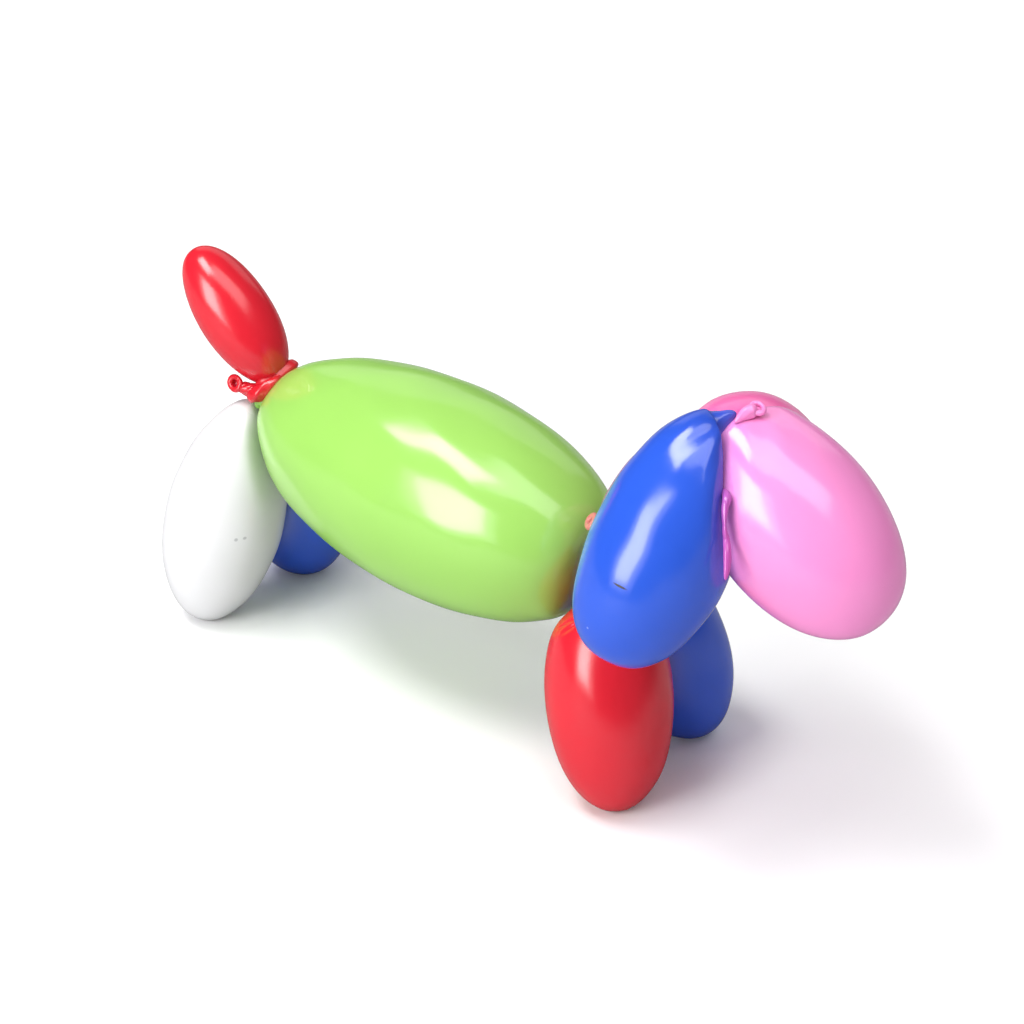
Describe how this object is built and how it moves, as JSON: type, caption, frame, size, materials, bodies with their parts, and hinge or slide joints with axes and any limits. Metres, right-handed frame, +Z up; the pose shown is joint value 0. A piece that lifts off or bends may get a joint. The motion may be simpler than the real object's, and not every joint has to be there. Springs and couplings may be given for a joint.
{
  "type": "balloon poodle",
  "caption": "Standing dog made of tied latex balloons in bright mixed colours: oval trunk, bulb legs, upright tail, hanging ears and a long muzzle.",
  "frame": {"origin": "on the ground below the middle of the bounding box", "axes": "+X along the trunk towards the nose, +Y towards the dog's left flank, +Z up"},
  "size_m": [0.348, 0.1364, 0.1799],
  "materials": {
    "green_latex": "glossy stretched latex",
    "red_latex": "glossy stretched latex",
    "white_latex": "glossy stretched latex",
    "blue_latex": "glossy stretched latex",
    "magenta_latex": "glossy stretched latex",
    "hot_pink_latex": "glossy stretched latex",
    "pink_latex": "glossy stretched latex"
  },
  "bodies": {
    "root": {"body": "green_latex", "tail": "red_latex", "hind_leg_right": "white_latex", "hind_leg_left": "blue_latex", "front_leg_right": "red_latex", "front_leg_left": "blue_latex", "neck": "magenta_latex", "ear_right": "blue_latex", "ear_left": "hot_pink_latex", "muzzle": "pink_latex"}
  },
  "joints": []
}
